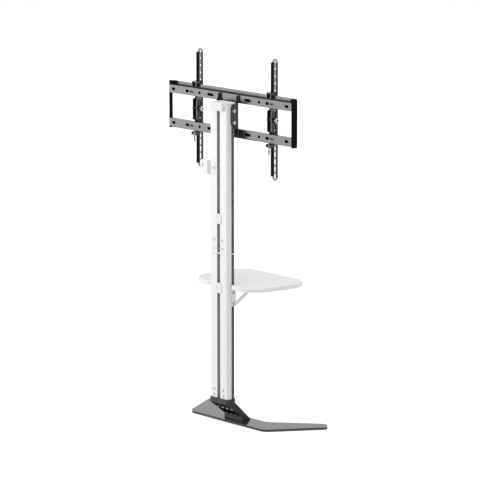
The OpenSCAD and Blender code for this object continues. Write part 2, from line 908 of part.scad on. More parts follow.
module hook_bracket() {
    difference() {
        union() {
            for (x = [-plate_out_x, plate_in_x])
                along_x(x, plate_hook_t) hook_plate_outline();
            // Bridge over the lip
            translate([-plate_in_x - over, nose_y, nose_top_h - bridge_t])
                cube([2 * (plate_in_x + over), tab_front_y - nose_y, bridge_t]);
            // Tab that carries the lock screw
            translate([-plate_in_x - over, tab_y, -tab_low_h])
                cube([2 * (plate_in_x + over), tab_front_y - tab_y, tab_t]);
        }
        for (s = [-1, 1])
            xcyl(-plate_out_x - over, pivot_y, s * spacer_h, spacer_end_r + pin_fit,
                 2 * (plate_out_x + over));
        xcyl(-plate_out_x - over, pivot_y, 0, pivot_r + pin_fit, 2 * (plate_out_x + over));
        translate([0, lock_y, -tab_low_h - over])
            cylinder(h = tab_t + 2 * over, r = lock_r + pin_fit);
    }
}

module spacer_pins() {
    for (s = [-1, 1]) {
        xcyl(-plate_in_x, pivot_y, s * spacer_h, spacer_r, 2 * plate_in_x);
        xcyl(-plate_out_x, pivot_y, s * spacer_h, spacer_end_r, 2 * plate_out_x);
    }
}

module pivot_bolt() {
    side = arm_w / 2 + run;
    difference() {
        union() {
            xcyl(-side - pivot_nut_t, pivot_y, 0, pivot_r, 2 * side + pivot_nut_t + over);
            xcyl(side, pivot_y, 0, pivot_head_r, pivot_head_t);
            translate([-side - pivot_nut_t, pivot_y, 0]) rotate([0, 90, 0])
                cylinder(h = pivot_nut_t, r = pivot_nut_r, $fn = 6);
        }
        translate([side + pivot_head_t - 2 * socket_d, pivot_y, 0]) rotate([0, 90, 0])
            cylinder(h = 2 * socket_d + over, r = 2 * socket_r, $fn = 6);
    }
}

module at_arm(s) {
    place() translate([s * arm_x, 0, mount_z]) children();
}

module hook_bracket_left() {
    color("#1f2023") at_arm(-1) hook_bracket();
}

module hook_bracket_right() {
    color("#1f2023") at_arm(1) hook_bracket();
}

module spacer_pins_left() {
    color("#b9bbbe") at_arm(-1) spacer_pins();
}

module spacer_pins_right() {
    color("#b9bbbe") at_arm(1) spacer_pins();
}

module pivot_bolt_left() {
    color("#b9bbbe") at_arm(-1) pivot_bolt();
}

module pivot_bolt_right() {
    color("#b9bbbe") at_arm(1) pivot_bolt();
}

// Arms

module arm() {
    straight = arm_half_l - arm_w / 2;
    difference() {
        union() {
            along_y(arm_front_y - arm_t, arm_t) rotate(90) slot2(arm_l, arm_w);
            for (s = [-1, 1])
                translate([s * (arm_w - arm_t) / 2 - arm_t / 2, arm_front_y - arm_d, -straight])
                    cube([arm_t, arm_d - arm_t / 2, 2 * straight]);
            for (x = [-arm_w / 2, arm_w / 2 - arm_t]) along_x(x, arm_t) intersection() {
                translate([pivot_y, 0]) circle(ear_r);
                translate([pivot_y - ear_r, -ear_r])
                    square([arm_front_y - arm_t / 2 - pivot_y + ear_r, 2 * ear_r]);
            }
        }
        for (i = [0:round_count - 1])
            ycyl(0, arm_front_y - arm_t - over, round_first - i * hole_pitch, hole_d / 2,
                 arm_t + 2 * over);
        along_y(arm_front_y - arm_t - over, arm_t + 2 * over)
            for (i = [0:slot_count - 1]) translate([0, i * hole_pitch - slot_first])
                rotate(90) slot2(slot_l, hole_d);
        xcyl(-arm_w / 2 - over, pivot_y, 0, pivot_r + pin_fit, arm_w + 2 * over);
    }
}

module arm_left() {
    color("#242529") at_arm(-1) arm();
}

module arm_right() {
    color("#242529") at_arm(1) arm();
}

module lock_screw() {
    difference() {
        translate([0, lock_y, -lock_low_h]) union() {
            cylinder(h = lock_head_h, r = lock_head_r);
            cylinder(h = lock_low_h - rail_outer_h - run, r = lock_r);
        }
        translate([0, lock_y, -lock_low_h - over]) cylinder(h = over + 2 * socket_d, r = socket_r * 1.3, $fn = 6);
    }
}

module lock_screw_left() {
    color("#c6c8cb") at_arm(-1) lock_screw();
}

module lock_screw_right() {
    color("#c6c8cb") at_arm(1) lock_screw();
}

// Shelf

module tray_outline() {
    offset(r = shelf_corner_r) offset(delta = -shelf_corner_r) polygon([
        [-shelf_rear_half_w, -shelf_rear_y], [-shelf_front_half_w, shelf_front_y],
        [shelf_front_half_w, shelf_front_y], [shelf_rear_half_w, -shelf_rear_y]
    ]);
}

module notch(grow) {
    half = side_in_x + shelf_plate_t + seat + grow;
    translate([-half, -col_d]) square([2 * half, col_d + col_d / 2 + notch_gap + grow]);
}

module shelf_tray() {
    color("#f3f3f3") place() difference() {
        translate([0, 0, shelf_z - shelf_skirt_h]) linear_extrude(shelf_skirt_h) difference() {
            tray_outline();
            notch(0);
        }
        // Hollow underside
        translate([0, 0, shelf_z - shelf_skirt_h - over])
            linear_extrude(tray_floor_z - shelf_z + shelf_skirt_h + over) difference() {
                offset(delta = -tray_wall) tray_outline();
                notch(tray_wall);
            }
        // Recess inside the rim
        translate([0, 0, shelf_z - tray_recess]) linear_extrude(tray_recess + over) difference() {
            offset(delta = -shelf_rim_w) tray_outline();
            notch(shelf_rim_w);
        }
        for (p = tray_screw_places())
            translate([p.x, p.y, tray_floor_z - over])
                cylinder(h = tray_screw_bite + over, r = tray_screw_r + pin_fit);
    }
}

function tray_screw_places() = [
    for (sx = [-1, 1], y = [col_d / 2 + notch_gap + tray_screw_inset, brace_reach - tray_screw_inset])
        [sx * (side_in_x + shelf_plate_t + flange_w / 2), y]
];

module shelf_bracket() {
    low = shelf_z - shelf_plate_low;
    t = tan(brace_deg);
    arm_low = tray_floor_z - brace_arm_h;
    y_top = col_d / 2 + notch_gap + tray_wall + seat;
    edge = brace_w / cos(brace_deg);
    reach_z = low + (brace_reach - shelf_plate_front) * t;
    difference() {
        union() {
            along_x(side_in_x, shelf_plate_t) difference() {
                polygon([
                    [shelf_plate_rear, low], [shelf_plate_front, low],
                    [brace_reach, min(reach_z, tray_floor_z - rail_t)],
                    [brace_reach, tray_floor_z], [y_top, tray_floor_z],
                    [y_top, shelf_z - shelf_plate_top], [shelf_plate_rear, shelf_z - shelf_plate_top]
                ]);
                polygon([
                    [shelf_plate_front, low + edge], [shelf_plate_front, arm_low],
                    [shelf_plate_front + (arm_low - low - edge) / t, arm_low]
                ]);
            }
            // Flange under the tray
            translate([side_in_x, y_top, tray_floor_z - shelf_plate_t])
                cube([shelf_plate_t + flange_w, brace_reach - y_top, shelf_plate_t]);
        }
        for (z = [shelf_screw_upper, shelf_screw_lower])
            xcyl(side_in_x - over, slot_y, shelf_z - z, t_screw_r + seat, shelf_plate_t + 2 * over);
        for (p = tray_screw_places()) if (p.x > 0)
            translate([p.x, p.y, tray_floor_z - shelf_plate_t - over])
                cylinder(h = shelf_plate_t + 2 * over, r = tray_screw_r + pin_fit);
    }
}

module shelf_bracket_left() {
    color("#e6e6e6") place() mirror([1, 0, 0]) shelf_bracket();
}

module shelf_bracket_right() {
    color("#e6e6e6") place() shelf_bracket();
}

module shelf_bracket_screws() {
    color("#b9bbbe") place() for (sx = [-1, 1], z = [shelf_screw_upper, shelf_screw_lower])
        mirror([sx < 0 ? 1 : 0, 0, 0]) slot_screw(shelf_z - z, shelf_plate_t);
}

module shelf_t_nuts() {
    color("#9a9ca0") place() for (sx = [-1, 1], z = [shelf_screw_upper, shelf_screw_lower])
        mirror([sx < 0 ? 1 : 0, 0, 0]) slot_nut(shelf_z - z);
}

module shelf_tray_screws() {
    z0 = tray_floor_z - shelf_plate_t;
    color("#b9bbbe") place() for (p = tray_screw_places()) difference() {
        translate([p.x, p.y, z0 - tray_screw_head_h]) union() {
            cylinder(h = tray_screw_head_h, r = tray_screw_head_r);
            cylinder(h = tray_screw_head_h + shelf_plate_t + tray_screw_bite - seat, r = tray_screw_r);
        }
        translate([p.x, p.y, z0 - tray_screw_head_h - over])
            cylinder(h = over + socket_d, r = socket_r, $fn = 6);
    }
}

base_plate();
base_pads();
foot_casting();
foot_bolts();
column_lower();
column_upper();
column_joint_band();
column_joiners();
joint_screws();
column_base_screws();
column_top_cap();
cable_clip_upper();
cable_clip_lower();
side_hook();
side_hook_screw();
upper_rail();
lower_rail();
rail_end_plates();
end_cap_left();
end_cap_right();
side_bracket_left();
side_bracket_right();
mount_bracket_screws();
mount_t_nuts();
hook_bracket_left();
hook_bracket_right();
spacer_pins_left();
spacer_pins_right();
pivot_bolt_left();
pivot_bolt_right();
arm_left();
arm_right();
lock_screw_left();
lock_screw_right();
shelf_tray();
shelf_bracket_left();
shelf_bracket_right();
shelf_bracket_screws();
shelf_t_nuts();
shelf_tray_screws();
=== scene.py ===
import json
import math

import bmesh
import bpy
from mathutils import Matrix, Vector


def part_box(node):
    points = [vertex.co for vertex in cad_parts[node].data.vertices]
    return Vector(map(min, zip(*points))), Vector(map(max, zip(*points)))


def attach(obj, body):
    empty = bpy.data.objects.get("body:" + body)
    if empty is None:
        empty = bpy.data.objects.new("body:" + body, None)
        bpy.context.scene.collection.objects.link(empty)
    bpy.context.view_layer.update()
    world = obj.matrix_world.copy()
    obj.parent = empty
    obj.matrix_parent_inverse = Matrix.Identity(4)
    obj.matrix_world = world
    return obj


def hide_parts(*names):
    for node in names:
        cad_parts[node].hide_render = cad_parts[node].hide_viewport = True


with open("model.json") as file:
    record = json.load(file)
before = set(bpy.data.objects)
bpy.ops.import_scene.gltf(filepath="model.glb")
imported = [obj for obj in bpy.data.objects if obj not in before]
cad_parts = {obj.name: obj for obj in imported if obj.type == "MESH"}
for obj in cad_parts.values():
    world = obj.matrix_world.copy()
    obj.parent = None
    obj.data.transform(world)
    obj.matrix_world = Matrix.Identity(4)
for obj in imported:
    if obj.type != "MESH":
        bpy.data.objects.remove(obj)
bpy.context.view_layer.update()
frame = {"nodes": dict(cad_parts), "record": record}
nodes = frame["nodes"]

# Lengths in the shaders, in the edge widths and of the socket screws are in metres. Those of the other pieces built
# here are in millimetres, in the frame of the CAD source: X along the rails, Y to the screen side, Z from under the
# base plate, the column's centre at X = Y = 0. ORIGIN is where that frame's origin lies in the shared frame.
MM = 0.001
ORIGIN = Vector((0.0, -0.1115, 0.0015))

# Regions of the column whose white is replaced by grey painted shade, deep inside the side slots and the rear channel:
# from and to in X on either side of the middle, and in Y from the rear face
REAR_FACE = float(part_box("column_lower")[0][1])
SLOT_X, SLOT_X_FADE = (0.036, 0.0458), 0.0008
SLOT_Y, SLOT_Y_FADE = (REAR_FACE + 0.0172, REAR_FACE + 0.0328), 0.0003
CHANNEL_X, CHANNEL_X_FADE = (-0.001, 0.0112), 0.0003
CHANNEL_Y, CHANNEL_Y_FADE = (REAR_FACE + 0.0012, REAR_FACE + 0.0204), 0.0008
# Greys painted inside the slots and the channel as the shade of those recesses
SLOT_SHADE_GREY, CHANNEL_SHADE_GREY = 0.27, 0.50


# Shader nodes

def new_material(name):
    m = bpy.data.materials.new(name)
    m.use_nodes = True
    nt = m.node_tree
    nt.nodes.clear()
    out = nt.nodes.new("ShaderNodeOutputMaterial")
    bsdf = nt.nodes.new("ShaderNodeBsdfPrincipled")
    nt.links.new(bsdf.outputs["BSDF"], out.inputs["Surface"])
    return m, nt, bsdf


def coords(nt, scale=(1.0, 1.0, 1.0)):
    """Places on the object, stretched along an axis where the scale is small."""
    tc = nt.nodes.new("ShaderNodeTexCoord")
    mp = nt.nodes.new("ShaderNodeMapping")
    mp.inputs["Scale"].default_value = scale
    nt.links.new(tc.outputs["Object"], mp.inputs["Vector"])
    return mp.outputs["Vector"]


def noise(nt, vec, scale, detail, rough=0.5):
    n = nt.nodes.new("ShaderNodeTexNoise")
    n.inputs["Scale"].default_value = scale
    n.inputs["Detail"].default_value = detail
    n.inputs["Roughness"].default_value = rough
    nt.links.new(vec, n.inputs["Vector"])
    return n.outputs["Fac"]


def map_range(nt, value, limits):
    r = nt.nodes.new("ShaderNodeMapRange")
    for socket, limit in limits.items():
        r.inputs[socket].default_value = limit
    nt.links.new(value, r.inputs["Value"])
    return r.outputs["Result"]


def two_tones(nt, fac, dark, pale):
    """A colour between dark and pale. A noise keeps mostly to the middle, so its outer parts are cut off."""
    r = nt.nodes.new("ShaderNodeValToRGB")
    for stop, position, colour in zip(r.color_ramp.elements, (0.3, 0.7), (dark, pale)):
        stop.position = position
        stop.color = (*colour, 1.0)
    nt.links.new(fac, r.inputs["Fac"])
    return r.outputs["Color"]


def spread(nt, fac, low, high):
    """The noise fac stretched to run from low to high."""
    return map_range(nt, fac, {"From Min": 0.25, "From Max": 0.75, "To Min": low, "To Max": high})


def bump(nt, height, strength, distance, normal=None):
    b = nt.nodes.new("ShaderNodeBump")
    b.inputs["Strength"].default_value = strength
    b.inputs["Distance"].default_value = distance
    nt.links.new(height, b.inputs["Height"])
    if normal is not None:
        nt.links.new(normal, b.inputs["Normal"])
    return b.outputs["Normal"]


def math_node(nt, op, a, b=None):
    n = nt.nodes.new("ShaderNodeMath")
    n.operation = op
    nt.links.new(a, n.inputs[0])
    if b is not None:
        nt.links.new(b, n.inputs[1])
    return n.outputs[0]


def shade(colour, share):
    """The colour, darker or paler by a share, and no more than white."""
    return tuple(min(1.0, c * share) for c in colour)


def inside(nt, value, limits, soft):
    """1 where value lies between the limits, fading out over soft."""
    low, high = limits
    above = map_range(nt, value, {"From Min": low - soft, "From Max": low})
    below = map_range(nt, value, {"From Min": high + soft, "From Max": high})
    return math_node(nt, "MULTIPLY", above, below)


# Materials

def coating(name, base, rough, peel_mm, peel_depth, tone, rough_spread=0.05, peel_strength=0.2):
    """A powder coat: an orange-peel skin, a slow drift of tone and of gloss."""
    m, nt, bsdf = new_material(name)
    v = coords(nt)
    slow = noise(nt, v, scale=9.0, detail=4.0)
    cloudy = noise(nt, v, scale=60.0, detail=5.0, rough=0.6)
    peel = noise(nt, v, scale=1000.0 / peel_mm, detail=2.0)
    nt.links.new(two_tones(nt, slow, shade(base, 1 - tone), shade(base, 1 + tone)), bsdf.inputs["Base Color"])
    nt.links.new(spread(nt, cloudy, rough - rough_spread, rough + rough_spread), bsdf.inputs["Roughness"])
    nt.links.new(bump(nt, peel, peel_strength, peel_depth), bsdf.inputs["Normal"])
    return m


def cast_coating(name, base, specular):
    """Coated sand casting: coarse grain under a satin skin."""
    m, nt, bsdf = new_material(name)
    bsdf.inputs["Specular IOR Level"].default_value = specular
    v = coords(nt)
    grain = noise(nt, v, scale=420.0, detail=5.0, rough=0.65)
    lumps = noise(nt, v, scale=90.0, detail=3.0)
    nt.links.new(two_tones(nt, lumps, shade(base, 0.8), shade(base, 1.35)), bsdf.inputs["Base Color"])
    nt.links.new(spread(nt, grain, 0.44, 0.58), bsdf.inputs["Roughness"])
    lumpy = bump(nt, lumps, strength=0.35, distance=0.0006)
    nt.links.new(bump(nt, grain, strength=0.45, distance=0.00025, normal=lumpy), bsdf.inputs["Normal"])
    return m


def painted_recess_shade(nt, v):
    """Masks of where shade is painted into the colour: inside the side slots, and inside the rear channel."""
    sep = nt.nodes.new("ShaderNodeSeparateXYZ")
    nt.links.new(v, sep.inputs["Vector"])
    x, y = math_node(nt, "ABSOLUTE", sep.outputs["X"]), sep.outputs["Y"]
    slot = math_node(nt, "MULTIPLY", inside(nt, x, SLOT_X, SLOT_X_FADE), inside(nt, y, SLOT_Y, SLOT_Y_FADE))
    channel = math_node(nt, "MULTIPLY", inside(nt, x, CHANNEL_X, CHANNEL_X_FADE),
                        inside(nt, y, CHANNEL_Y, CHANNEL_Y_FADE))
    return slot, channel


def extrusion(name, base):
    """White coated extrusion: faint die lines along the length under a satin coat, with grey painted shade inside the
    slots and the channel.
    """
    m, nt, bsdf = new_material(name)
    v = coords(nt)
    lines = noise(nt, coords(nt, (1.0, 1.0, 0.004)), scale=700.0, detail=3.0)
    slow = noise(nt, v, scale=5.0, detail=3.0)
    peel = noise(nt, v, scale=800.0, detail=2.0)
    skin = two_tones(nt, slow, shade(base, 0.985), base)
    # Painted shade: inside the slots and the channel the white turns grey, keeping the die lines
    for mask, grey in zip(painted_recess_shade(nt, v), (SLOT_SHADE_GREY, CHANNEL_SHADE_GREY)):
        mix = nt.nodes.new("ShaderNodeMix")
        mix.data_type = "RGBA"
        factor, under, over = mix.inputs[0], mix.inputs[6], mix.inputs[7]
        nt.links.new(mask, factor)
        nt.links.new(skin, under)
        nt.links.new(two_tones(nt, lines, (grey * 0.9,) * 3, (grey * 1.08,) * 3), over)
        skin = mix.outputs[2]
    nt.links.new(skin, bsdf.inputs["Base Color"])
    nt.links.new(spread(nt, lines, 0.34, 0.44), bsdf.inputs["Roughness"])
    lined = bump(nt, lines, strength=0.25, distance=0.00006)
    nt.links.new(bump(nt, peel, strength=0.2, distance=0.00006, normal=lined), bsdf.inputs["Normal"])
    return m


def moulding(name, base, rough, specular=0.5):
    """Moulded plastic with a fine spark texture."""
    m, nt, bsdf = new_material(name)
    v = coords(nt)
    spark = noise(nt, v, scale=1600.0, detail=3.0, rough=0.7)
    flow = noise(nt, v, scale=30.0, detail=2.0)
    nt.links.new(two_tones(nt, flow, shade(base, 0.95), shade(base, 1.04)), bsdf.inputs["Base Color"])
    nt.links.new(spread(nt, spark, rough - 0.06, rough + 0.06), bsdf.inputs["Roughness"])
    nt.links.new(bump(nt, spark, strength=0.3, distance=0.00008), bsdf.inputs["Normal"])
    bsdf.inputs["Specular IOR Level"].default_value = specular
    return m


def plated(name, base, rough, blue=0.0):
    """Zinc or bare metal: turned streaks and cloudy plating, with a bluish cast where blue is over 0."""
    m, nt, bsdf = new_material(name)
    v = coords(nt)
    cloud = noise(nt, v, scale=140.0, detail=4.0, rough=0.6)
    fine = noise(nt, v, scale=1800.0, detail=2.0)
    pale = (base[0] * (1 - blue), base[1], min(1.0, base[2] * (1 + blue)))
    nt.links.new(two_tones(nt, cloud, shade(base, 0.82), pale), bsdf.inputs["Base Color"])
    nt.links.new(spread(nt, cloud, rough - 0.07, rough + 0.09), bsdf.inputs["Roughness"])
    nt.links.new(bump(nt, fine, strength=0.25, distance=0.00005), bsdf.inputs["Normal"])
    bsdf.inputs["Metallic"].default_value = 1.0
    return m


def rubbery(name, base):
    """Dull rubber with a rough grain."""
    m, nt, bsdf = new_material(name)
    grain = noise(nt, coords(nt), scale=900.0, detail=4.0)
    nt.links.new(two_tones(nt, grain, shade(base, 0.8), shade(base, 1.3)), bsdf.inputs["Base Color"])
    nt.links.new(spread(nt, grain, 0.7, 0.85), bsdf.inputs["Roughness"])
    nt.links.new(bump(nt, grain, strength=0.4, distance=0.0001), bsdf.inputs["Normal"])
    return m


MATS = {
    "base_black": coating("base_black", (0.016, 0.016, 0.017), rough=0.09, peel_mm=1.8, peel_depth=0.00003,
                          tone=0.12, rough_spread=0.03, peel_strength=0.06),
    "mount_black": coating("mount_black", (0.017, 0.017, 0.0185), rough=0.25, peel_mm=1.4, peel_depth=0.00004,
                           tone=0.12, rough_spread=0.03, peel_strength=0.08),
    "foot_casting": cast_coating("foot_casting", (0.005, 0.005, 0.0053), specular=0.5),
    "column_white": extrusion("column_white", (0.85, 0.85, 0.85)),
    "white_sheet": coating("white_sheet", (0.85, 0.85, 0.847), rough=0.42, peel_mm=1.5, peel_depth=0.00005, tone=0.012),
    "white_plastic": moulding("white_plastic", (0.83, 0.83, 0.826), rough=0.5),
    "black_plastic": moulding("black_plastic", (0.0045, 0.0045, 0.0045), rough=0.5, specular=0.05),
    "plain_aluminium": plated("plain_aluminium", (0.78, 0.78, 0.79), rough=0.34),
    "bright_steel": plated("bright_steel", (0.74, 0.75, 0.77), rough=0.24, blue=0.02),
    "pad_rubber": rubbery("pad_rubber", (0.02, 0.02, 0.02)),
    "dark_steel": plated("dark_steel", (0.40, 0.42, 0.45), rough=0.34, blue=0.02),
    "screw_zinc": plated("screw_zinc", (0.76, 0.79, 0.81), rough=0.25, blue=0.02),
}

# Width of the softened edges of each CAD node
BEVEL = {
    "base_plate": 0.0009, "foot_casting": 0.0012, "column_lower": 0.0003, "column_upper": 0.0003,
    "column_top_cap": 0.0008, "shelf_tray": 0.0008, "side_hook": 0.0003,
    "end_cap_left": 0.0009, "end_cap_right": 0.0009,
}
BEVEL_ELSE = 0.00035


def soften(ob, width):
    mod = ob.modifiers.new("edges", "BEVEL")
    mod.width = width
    mod.segments = 2
    mod.limit_method = "ANGLE"
    mod.angle_limit = math.radians(35)
    mod.use_clamp_overlap = True


for part in frame["record"]["subparts"]:
    ob = nodes[part["node"]]
    ob.data.materials.clear()
    ob.data.materials.append(MATS[part["material_slot"]])
    soften(ob, BEVEL.get(part["node"], BEVEL_ELSE))


# Building blocks of the scene's own pieces

def at(x, y, z):
    """A place in the CAD source's frame, turned into metres in the shared frame."""
    return ORIGIN + Vector((x, y, z)) * MM


def piece(name, verts, faces, material, body, sharp_deg=40.0):
    """A smooth object with its edges over sharp_deg kept sharp. It rides on the body."""
    me = bpy.data.meshes.new(name)
    me.from_pydata([tuple(v) for v in verts], [], faces)
    me.validate()
    bm = bmesh.new()
    bm.from_mesh(me)
    bmesh.ops.recalc_face_normals(bm, faces=bm.faces)
    bm.to_mesh(me)
    bm.free()
    for f in me.polygons:
        f.use_smooth = True
    me.set_sharp_from_angle(angle=math.radians(sharp_deg))
    ob = bpy.data.objects.new(name, me)
    bpy.context.scene.collection.objects.link(ob)
    ob.data.materials.append(MATS[material])
    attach(ob, body)
    return ob


def rings_to_mesh(rings, capped=True):
    """Quads between closed rings of equal length, and a face over the first and the last ring if capped."""
    n = len(rings[0])
    verts = [v for r in rings for v in r]
    faces = []
    for k in range(len(rings) - 1):
        a, b = k * n, (k + 1) * n
        for i in range(n):
            j = (i + 1) % n
            faces.append((a + i, a + j, b + j, b + i))
    if capped:
        faces.append(tuple(range(n)))
        faces.append(tuple(len(verts) - n + i for i in range(n)))
    return verts, faces


def join_mesh(verts, faces, more_verts, more_faces):
    """Adds a second set of vertices and faces to the first."""
    faces += [tuple(i + len(verts) for i in q) for q in more_faces]
    verts += more_verts


def prism(name, outline, y_face, y_back, lean, material, body):
    """Outline in X and Z, made solid along Y. lean moves the face back by that share of the height over its foot."""
    z_foot = min(z for x, z in outline)
    front = [at(x, y_face + lean * (z - z_foot), z) for x, z in outline]
    back = [at(x, y_back, z) for x, z in outline]
    verts, faces = rings_to_mesh([front, back])
    return piece(name, verts, faces, material, body, sharp_deg=25.0)


def corner_arc(p, before, after, radius, steps):
    """Points of the arc that rounds the corner at p."""
    u = (Vector(before) - Vector(p)).normalized()
    w = (Vector(after) - Vector(p)).normalized()
    half = u.angle(w) / 2
    centre = Vector(p) + (u + w).normalized() * radius / math.sin(half)
    first = Vector(p) + u * radius / math.tan(half) - centre
    last = Vector(p) + w * radius / math.tan(half) - centre
    turn = math.atan2(first.x * last.y - first.y * last.x, first.dot(last))
    out = []
    for i in range(steps + 1):
        t = turn * i / steps
        out.append((centre.x + first.x * math.cos(t) - first.y * math.sin(t),
                    centre.y + first.x * math.sin(t) + first.y * math.cos(t)))
    return out


def rounded_loop(w, d, r, steps):
    """A rectangle round the origin, w by d, with corners of radius r."""
    out = []
    for k, (sx, sy) in enumerate(((1, 1), (-1, 1), (-1, -1), (1, -1))):
        for i in range(steps + 1):
            t = math.radians(90 * k + 90 * i / steps)
            out.append((sx * (w / 2 - r) + r * math.cos(t), sy * (d / 2 - r) + r * math.sin(t)))
    return out


def inset(loop, d):
    """The loop moved inward by d with mitred corners. The loop runs anticlockwise."""
    least_cosine = 0.2
    out = []
    n = len(loop)
    for i in range(n):
        a, b, c = Vector(loop[i - 1]), Vector(loop[i]), Vector(loop[(i + 1) % n])
        u, w = (b - a).normalized(), (c - b).normalized()
        m = Vector((-u.y - w.y, u.x + w.x))
        m = m / m.length
        out.append(b + m * d / max(least_cosine, m.dot(Vector((-u.y, u.x)))))
    return out


def hex_radius(r, t):
    """Distance from the centre of a hexagon to its side at the angle t, where its corners lie at r."""
    return r * math.cos(math.radians(30)) / math.cos(t % math.radians(60) - math.radians(30))


# Shelf tray: rolled outer edge, soft rim and a skirt open below

TRAY_TOP, TRAY_SKIRT, TRAY_EDGE, TRAY_SHEET = 500.0, 15.5, 4.0, 2.0
TRAY_REAR_Y, TRAY_FRONT_Y, TRAY_REAR_HALF_W, TRAY_FRONT_HALF_W = -10.4, 252.8, 172.0, 193.0
TRAY_CORNER_R, TRAY_CORNER_STEPS = 85.0, 18
NOTCH_HALF_W, NOTCH_Y, NOTCH_CORNER_R, NOTCH_CORNER_STEPS = 50.2, 21.5, 16.0, 8
# Inset from the edge and depth under the top, from the rim down to the floor of the tray
TRAY_RIM = ((5.4, 0.0), (6.3, 0.12), (7.2, 0.62), (8.1, 1.36), (9.0, 1.88), (10.0, 2.0))


def tray_loop():
    rear, front = TRAY_REAR_Y, TRAY_FRONT_Y
    quad = [(TRAY_REAR_HALF_W, rear), (TRAY_FRONT_HALF_W, front),
            (-TRAY_FRONT_HALF_W, front), (-TRAY_REAR_HALF_W, rear)]
    left, right = (-NOTCH_HALF_W, NOTCH_Y), (NOTCH_HALF_W, NOTCH_Y)
    loop = corner_arc((-NOTCH_HALF_W, rear), quad[3], left, NOTCH_CORNER_R, NOTCH_CORNER_STEPS)
    loop += [left, right]
    loop += corner_arc((NOTCH_HALF_W, rear), right, quad[0], NOTCH_CORNER_R, NOTCH_CORNER_STEPS)
    for i in range(4):
        loop += corner_arc(quad[i], quad[i - 1], quad[(i + 1) % 4], TRAY_CORNER_R, TRAY_CORNER_STEPS)
    return loop


def build_tray():
    low, lip, lip_middle, underside, arc_steps = TRAY_TOP - TRAY_SKIRT, 0.8, 0.23, TRAY_TOP - 4.5, 6
    profile = [(TRAY_SHEET, underside), (TRAY_SHEET, low), (lip, low), (lip_middle, low + lip_middle),
               (0.0, low + lip), (0.0, TRAY_TOP - TRAY_EDGE)]
    for k in range(1, arc_steps + 1):
        a = math.radians(90 * k / arc_steps)
        profile.append((TRAY_EDGE - TRAY_EDGE * math.cos(a), TRAY_TOP - TRAY_EDGE + TRAY_EDGE * math.sin(a)))
    profile += [(d, TRAY_TOP - depth) for d, depth in TRAY_RIM]
    loop = tray_loop()
    rings = [[at(p.x, p.y, z) for p in inset(loop, d)] for d, z in profile]
    verts, faces = rings_to_mesh(rings)
    ob = piece("tray_dressed", verts, faces, "white_sheet", "shelf")
    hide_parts("shelf_tray")


build_tray()


# Moulded ring round the joint of the two column sections

JOINT_Z, JOINT_W, JOINT_D, JOINT_R, JOINT_STEPS = 607.0, 94.4, 36.0, 8.0, 10
# Reach out of the column and height from the joint. The last point closes the section at the first.
JOINT_PROFILE = ((0.03, -1.8), (0.8, -1.8), (1.1, -1.62), (1.25, -1.3), (1.25, 1.3), (1.1, 1.62), (0.8, 1.8),
                 (0.03, 1.8), (0.03, -1.8))


def build_joint_ring():
    loop = rounded_loop(JOINT_W, JOINT_D, JOINT_R, JOINT_STEPS)
    rings = [[at(p.x, p.y, JOINT_Z + dz) for p in inset(loop, -out)] for out, dz in JOINT_PROFILE]
    verts, faces = rings_to_mesh(rings, capped=False)
    piece("joint_ring", verts, faces, "white_plastic", "base")


build_joint_ring()


# Lock screws: knurled socket head, cut thread and dog point

def build_lock_screw(side):
    lo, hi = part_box("lock_screw_" + side)
    cx, cy = (lo.x + hi.x) / 2, (lo.y + hi.y) / 2
    length = (hi.z - lo.z) / MM
    cols, head = 36, 8.0
    knurls, knurl_r, knurl_depth, head_edge_r, head_top_r, neck_r = 18, 3.64, 0.06, 3.25, 3.45, 3.3
    key_r, key_mouth_r, key_depth, key_floor, key_floor_r = 2.1, 2.3, 2.1, 2.4, 0.3
    crest, root, pitch, rows_a_turn, run_in, run_out = 2.94, 2.42, 1.0, 6, 0.6, 3.2
    relief_r, point_r, point_end_r, point, chamfer = 2.5, 2.15, 1.8, 2.0, 0.4
    rings = []

    def ring(z, radius):
        pts = []
        for i in range(cols):
            t = 2 * math.pi * i / cols
            r = radius(t) if callable(radius) else radius
            pts.append((cx + r * MM * math.cos(t), cy + r * MM * math.sin(t), lo.z + z * MM))
        rings.append(pts)

    def knurl(t):
        return knurl_r + knurl_depth * math.cos(knurls * t)

    ring(key_floor, key_floor_r)
    ring(key_depth, lambda t: hex_radius(key_r, t))
    ring(0.2, lambda t: hex_radius(key_r, t))
    ring(0.0, lambda t: hex_radius(key_mouth_r, t))
    ring(0.0, head_edge_r)
    ring(0.4, knurl)
    ring(3.0, knurl)
    ring(head - 1.4, knurl)
    ring(head - 1.0, head_top_r)
    ring(head, neck_r)
    ring(head, relief_r)
    rows = int((length - head - run_out) / pitch * rows_a_turn)
    for k in range(rows + 1):
        z = head + run_in + k * pitch / rows_a_turn

        def thread(t, z=z):
            turn = (z / pitch - t / (2 * math.pi)) % 1.0
            tooth = min(1.0, max(0.0, 1.35 - 2.7 * abs(2 * turn - 1)))
            return root + (crest - root) * tooth

        ring(z, thread)
    ring(length - point - 0.3, root)
    ring(length - point, point_r)
    ring(length - chamfer, point_r)
    ring(length, point_end_r)
    verts, faces = rings_to_mesh(rings)
    ob = piece("lock_screw_cut_" + side, verts, faces, "dark_steel", "lock_" + side[0])
    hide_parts("lock_screw_" + side)


for side in ("left", "right"):
    build_lock_screw(side)


# Socket screws: domed heads with a hexagon recess, and turned shanks

# Shares of the head's height and of its radius, from the face of the head to its underside
DOME = ((0.0, 0.68), (0.06, 0.80), (0.2, 0.91), (0.42, 0.975), (0.7, 1.0), (0.93, 1.0), (1.0, 0.96))
KEY_SHARE, KEY_MOUTH_SHARE, KEY_FLOOR_SHARE = 0.37, 1.1, 0.05
KEY_DEPTH_SHARE, KEY_MOUTH_DEPTH_SHARE = 0.6, 0.05
# A head is over this much wider than its shank, and the shank is measured this near its end
HEAD_STEP, SHANK_END, LEAST_HEAD = 0.0003, 0.0006, 0.0008
# The pivot bolts: radius of the shank, hexagon nut on its end, share of the source's head radius that is kept, and
# how far the face of the head is set back
PIVOT = {"shank": 0.004, "nut_radius": 0.0072, "nut_height": 0.0054, "head_share": 0.74, "set_back": 0.0018}


